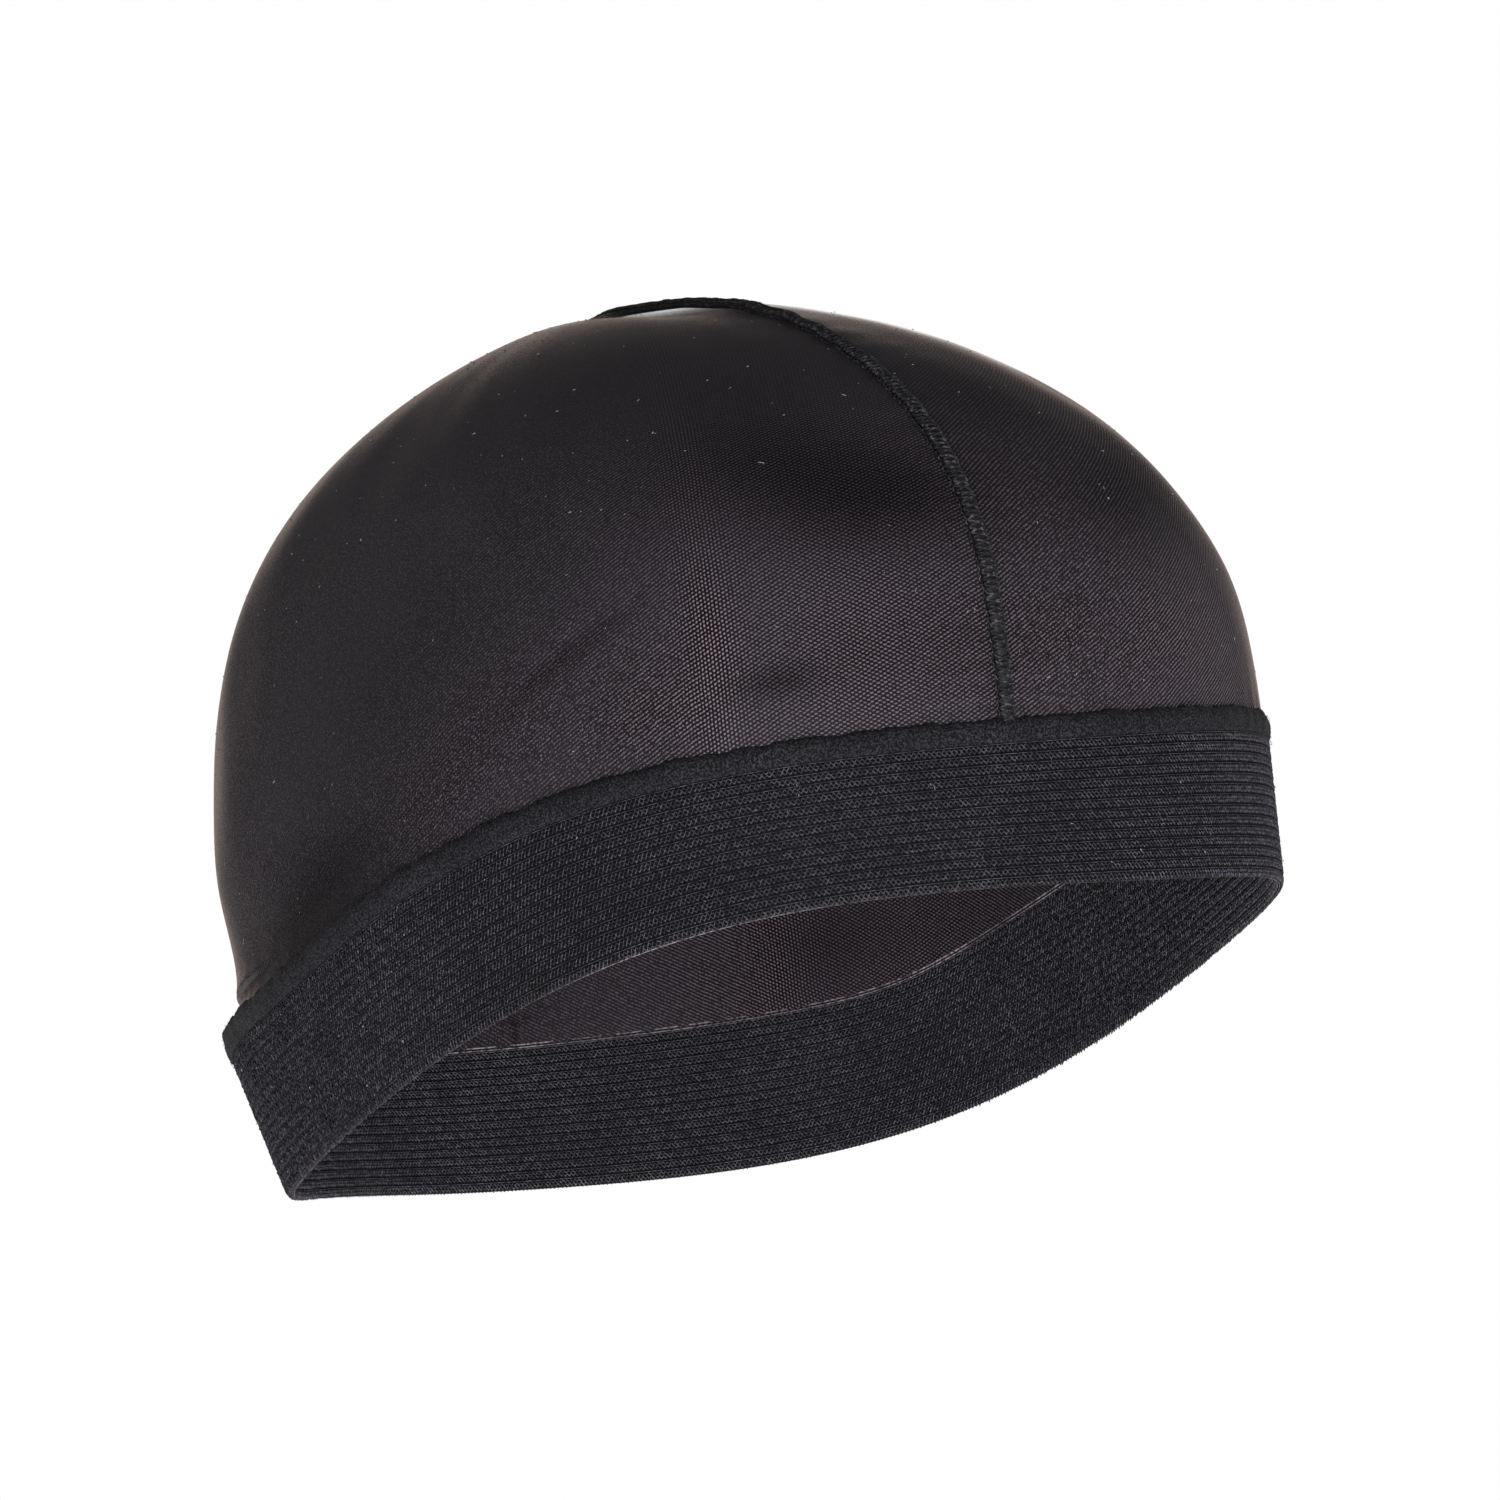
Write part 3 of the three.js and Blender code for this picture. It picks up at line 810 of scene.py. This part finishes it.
def seam_stitches():
    """Overlock threads that cross the ridge both ways, and a looping thread along each of its edges."""
    _, _, length = seam_line(10)
    steps = 10
    count = int(round(length / SEAM_PITCH)) * steps
    path, up, _ = seam_line(count)
    path = path - up * seam_sink(path)[:, None]
    sideways = np.array([1.0, 0, 0])
    phase = np.arange(count) / steps
    random = np.random.default_rng(3)
    knots = np.arange(0, phase[-1] + 2, 0.5)
    uneven = np.interp(phase, knots, random.normal(0, 1, len(knots)))
    parts = []
    for start in (0.0, 0.5):
        saw = 2 * np.abs(2 * ((phase + start + 0.06 * uneven) % 1) - 1) - 1
        aside = 0.9 * SEAM_HALF * np.sin(math.pi / 2 * saw)
        lift = seam_height(aside) + 0.24 + 0.05 * uneven
        line = path + sideways * aside[:, None] + up * lift[:, None]
        parts.append(tubes(line[None], up[None], round_section(0.19, 5, 0.8)))
    for edge in (-1, 1):
        aside = edge * (0.95 * SEAM_HALF + 0.15 * np.cos(FULL_TURN * phase * 2) + 0.05 * uneven)
        lift = 0.22 + 0.12 * np.sin(FULL_TURN * phase * 2)
        line = path + sideways * aside[:, None] + up * lift[:, None]
        parts.append(tubes(line[None], up[None], round_section(0.14, 5)))
    return make_piece("centre_seam_threads", joined(parts), seam_thread)


def fibres(name, places, ups, lengths, radius, lean, material, seed):
    """Many short loose fibres, each a thin bent three-sided strand, lying or standing by their lean."""
    random = np.random.default_rng(seed)
    many = len(places)
    turn = random.uniform(0, FULL_TURN, (many, 1))
    side = unit(np.cross(ups, (0.3, 0.5, 0.8)))
    along = side * np.cos(turn) + np.cross(ups, side) * np.sin(turn)
    rise, bend = random.uniform(*lean, (many, 1, 1)), random.uniform(-0.5, 0.5, (many, 1, 1))
    steps = np.linspace(0, 1, 4)[None, :, None]
    size = lengths[:, None, None]
    bent = steps**2 * bend * size * np.cross(along, ups)[:, None]
    paths = places[:, None] + steps * size * along[:, None] + bent
    paths = paths + steps * (1 - 0.4 * steps) * rise * size * ups[:, None]
    spread_ups = np.repeat(ups[:, None], 4, 1) + (0.01, 0.013, 0.017)
    return make_piece(name, tubes(paths, spread_ups, round_section(radius, 3)), material)


def lint():
    """Pale specks of lint on the crown and the band."""
    random = np.random.default_rng(5)
    turn = random.uniform(-math.pi, math.pi, CROWN_SPECKS)
    climb = random.uniform(0.02, 0.93, CROWN_SPECKS) ** 0.8
    low_turn = random.uniform(-math.pi, math.pi, BAND_SPECKS)
    low_share = random.uniform(0.02, 0.85, BAND_SPECKS)
    ups = np.concatenate([crown_normal(turn, climb), outwards(band_point, low_turn, low_share)])
    on_band = band_surface(low_turn, low_share, np.full(BAND_SPECKS, 0.45))
    places = np.concatenate([crown_point(turn, climb), on_band])
    many = CROWN_SPECKS + BAND_SPECKS
    sizes = random.uniform(0.1, 0.42, many) * np.where(random.uniform(0, 1, many) < 0.06, 2.5, 1)
    return fibres("lint", places + ups * 0.05, ups, sizes, 0.075, (0.0, 0.3), lint_fibre, 6)


def strip_fuzz():
    """Short fibres that stand out of the overlocked strip and the ribs next to it."""
    random = np.random.default_rng(8)
    turn = random.uniform(-math.pi, math.pi, FUZZ_FIBRES)
    share = 1.0 - random.uniform(0.0, 0.15, FUZZ_FIBRES)
    up = outwards(band_point, turn, share)
    places = band_point(turn, share) + up * 0.6
    sizes = random.uniform(0.15, 0.45, FUZZ_FIBRES)
    return fibres("strip_fuzz", places, up, sizes, 0.035, (0.1, 1.0), seam_thread, 9)


crown_right = crown_half("crown_right_cloth", -1, "crown_panel_right")
crown_left = crown_half("crown_left_cloth", 1, "crown_panel_left")
band_cloth = elastic_band()
band_trim = [
    band_yarns("band_yarns_outside_high", True, True),
    band_yarns("band_yarns_outside_low", True, False),
    band_yarns("band_yarns_inside_high", False, True),
    band_yarns("band_yarns_inside_low", False, False),
    rib_lines("rib_lines_outside", True),
    rib_lines("rib_lines_inside", False),
    edge_threads(),
]
join_strip()
centre_seam()
seam_stitches()
lint()
strip_fuzz()

# Camera, as the photograph was taken. Angles in degrees, lengths in millimetres, the frame in pixels
AZIMUTH, ELEVATION, ROLL = -24.34, -0.71, -5.897
DISTANCE, AIM_HEIGHT = 1233.3, 43.2
FOCAL_PIXELS, FRAME_PIXELS, CENTRE_X, CENTRE_Y = 8091.3, 1500, 755.1, 764.9


def camera():
    """The camera; returns the directions back from the cap to it and to its right."""
    azimuth, elevation, roll = (math.radians(a) for a in (AZIMUTH, ELEVATION, ROLL))
    level_back = math.cos(elevation)
    back = Vector((math.sin(azimuth) * level_back, -math.cos(azimuth) * level_back, math.sin(elevation)))
    level = Vector((math.cos(azimuth), math.sin(azimuth), 0))
    upright = back.cross(level)
    right = level * math.cos(roll) + upright * math.sin(roll)
    up = upright * math.cos(roll) - level * math.sin(roll)
    data = bpy.data.cameras.new("camera")
    data.sensor_width = 36
    data.lens = FOCAL_PIXELS / FRAME_PIXELS * data.sensor_width
    data.shift_x = (FRAME_PIXELS / 2 - CENTRE_X) / FRAME_PIXELS
    data.shift_y = (CENTRE_Y - FRAME_PIXELS / 2) / FRAME_PIXELS
    data.clip_start, data.clip_end = 0.05, 60
    holder = bpy.data.objects.new("camera", data)
    turned = Matrix((right, up, back)).transposed().to_4x4()
    holder.matrix_world = Matrix.Translation(Vector((0, 0, AIM_HEIGHT * MM)) + back * DISTANCE * MM) @ turned
    bpy.context.scene.collection.objects.link(holder)
    bpy.context.scene.camera = holder
    return back, right


def floor():
    """A plain pale floor, far below the cap, which hangs at head height."""
    bpy.ops.mesh.primitive_circle_add(vertices=96, radius=9, fill_type="NGON", location=(0, 0, -1.3))
    ground = bpy.context.object
    ground.name = "floor"
    material = bpy.data.materials.new("pale_floor")
    material.use_nodes = True
    shader = material.node_tree.nodes["Principled BSDF"]
    shader.inputs["Base Color"].default_value = (0.86, 0.86, 0.86, 1)
    shader.inputs["Roughness"].default_value = 0.9
    shader.inputs["Emission Color"].default_value = (1, 1, 1, 1)
    shader.inputs["Emission Strength"].default_value = 0.72
    ground.data.materials.append(material)


def sky(back):
    """An even white backdrop to look at; as light, it is bright behind the cap and dim elsewhere."""
    world = bpy.data.worlds.new("studio")
    bpy.context.scene.world = world
    world.use_nodes = True
    tree = world.node_tree
    white = tree.nodes["Background"]
    white.inputs["Color"].default_value = (1, 1, 1, 1)
    white.inputs["Strength"].default_value = 1.0
    light = tree.nodes.new("ShaderNodeBackground")
    coordinates = tree.nodes.new("ShaderNodeTexCoord")
    towards = tree.nodes.new("ShaderNodeVectorMath")
    towards.operation = "DOT_PRODUCT"
    towards.inputs[1].default_value = -back
    tree.links.new(coordinates.outputs["Generated"], towards.inputs[0])
    glow = tree.nodes.new("ShaderNodeMapRange")
    glow.interpolation_type = "SMOOTHSTEP"
    glow.inputs["From Min"].default_value = 0.92
    glow.inputs["From Max"].default_value = 0.985
    tree.links.new(towards.outputs["Value"], glow.inputs["Value"])
    colours = tree.nodes.new("ShaderNodeMix")
    colours.data_type = "RGBA"
    colours.inputs[6].default_value = (0.13, 0.13, 0.13, 1)
    colours.inputs[7].default_value = (0.85, 0.68, 0.60, 1)
    tree.links.new(glow.outputs["Result"], colours.inputs["Factor"])
    tree.links.new(colours.outputs[2], light.inputs["Color"])
    ray = tree.nodes.new("ShaderNodeLightPath")
    mix = tree.nodes.new("ShaderNodeMixShader")
    tree.links.new(ray.outputs["Is Camera Ray"], mix.inputs[0])
    tree.links.new(light.outputs[0], mix.inputs[1])
    tree.links.new(white.outputs[0], mix.inputs[2])
    tree.links.new(mix.outputs[0], tree.nodes["World Output"].inputs["Surface"])


def softbox(name, place, size, power):
    """A large soft light at a place in metres, turned towards the cap."""
    data = bpy.data.lights.new(name, "AREA")
    data.shape = "RECTANGLE"
    data.size, data.size_y = size
    data.energy = power
    holder = bpy.data.objects.new(name, data)
    holder.location = place
    holder.rotation_euler = (place - Vector((0, 0, AIM_HEIGHT * MM))).to_track_quat("Z", "Y").to_euler()
    bpy.context.scene.collection.objects.link(holder)


camera_back, camera_right = camera()
floor()
sky(camera_back)
softbox("front_softbox", camera_back * 1.5 + camera_right * 0.2 + Vector((0, 0, -0.25)), (1.7, 0.8), 24.0)
for aside in (-1, 1):
    place = camera_right * (1.5 * aside) - camera_back * 0.9 + Vector((0, 0, 0.5))
    softbox(f"back_softbox_{aside + 2}", place, (1.2, 1.2), 2.2)
bpy.context.scene.view_settings.view_transform = "Standard"
